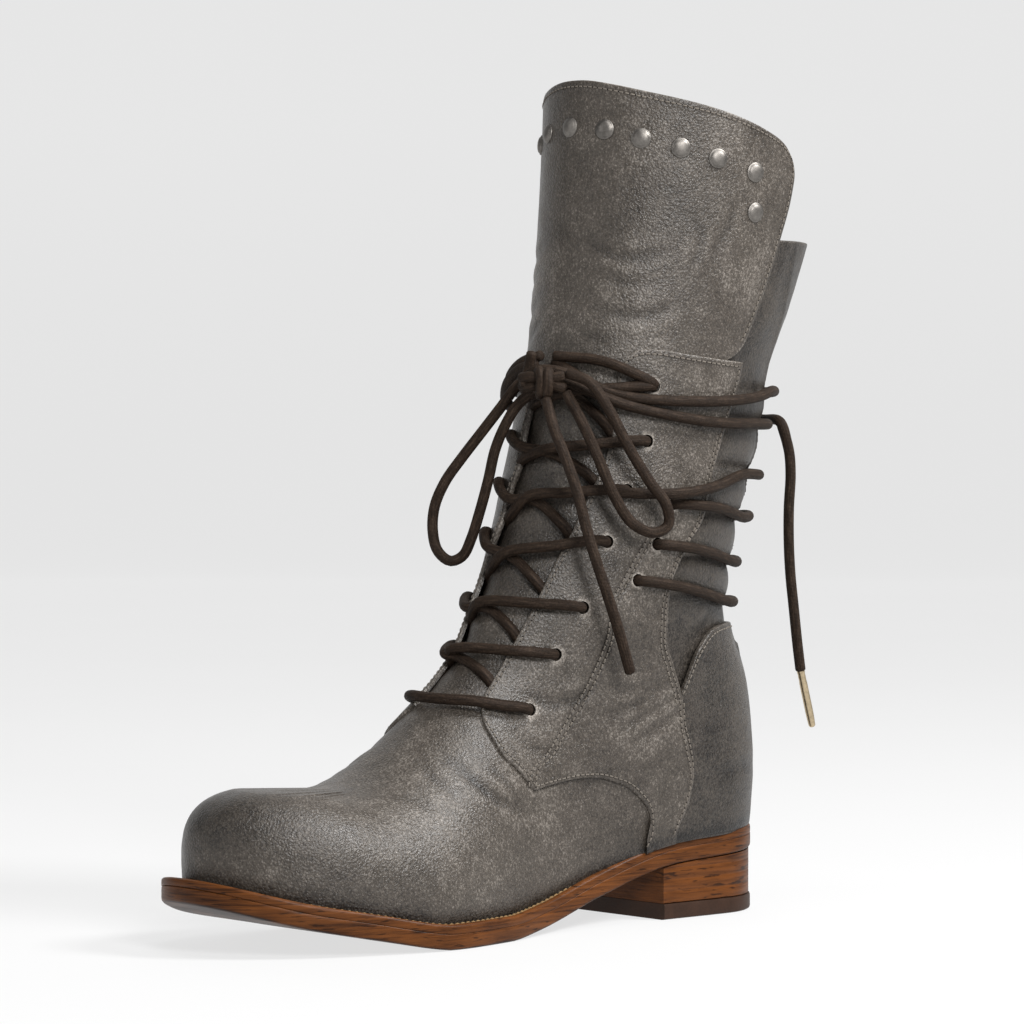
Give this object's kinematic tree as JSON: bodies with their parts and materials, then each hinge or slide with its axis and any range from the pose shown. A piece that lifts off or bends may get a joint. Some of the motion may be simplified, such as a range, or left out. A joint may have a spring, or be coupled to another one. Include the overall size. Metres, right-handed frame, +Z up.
{
  "type": "lace-up boot",
  "caption": "Left mid-calf lace-up leather boot with tall studded front flap, back lacing, ankle wraps tied in a bow, welted sole and stacked heel.",
  "frame": {"origin": "on the floor under the middle of the heel", "axes": "+X points from heel to toe, +Y to the wearer's left, which is the outer side, +Z up"},
  "size_m": [0.3134, 0.1056, 0.34],
  "materials": {
    "upper_leather": "distressed grained mid-grey leather with darker burnish and pale cut edges",
    "gusset_leather": "soft thin grey leather",
    "insole_leather": "plain tan leather insole",
    "sole_leather": "polished reddish-brown sole and welt leather with gold stitching",
    "stacked_leather": "polished stacked leather with darker layer lines",
    "rubber_lift": "dark brown moulded rubber",
    "lace": "round dark brown waxed lace",
    "stud_metal": "antique pewter domes",
    "tip_metal": "worn brass tip"
  },
  "bodies": {
    "root": {"top_lift": "rubber_lift", "heel_stack": "stacked_leather", "outsole": "sole_leather", "welt": "sole_leather", "insole": "insole_leather", "upper": "upper_leather", "counter": "upper_leather", "front_flap": "upper_leather", "rear_gusset": "gusset_leather", "front_lacing": "lace", "rear_lacing": "lace", "bow_knot": "lace", "bow_loop_inner": "lace", "bow_loop_outer": "lace", "lace_end_front": "lace", "lace_end_rear": "lace", "lace_tip": "tip_metal", "stud_1": "stud_metal", "stud_2": "stud_metal", "stud_3": "stud_metal", "stud_4": "stud_metal", "stud_5": "stud_metal", "stud_6": "stud_metal", "stud_7": "stud_metal", "stud_8": "stud_metal", "stud_9": "stud_metal", "stud_10": "stud_metal", "stud_11": "stud_metal", "stud_12": "stud_metal", "stud_13": "stud_metal"}
  },
  "joints": []
}
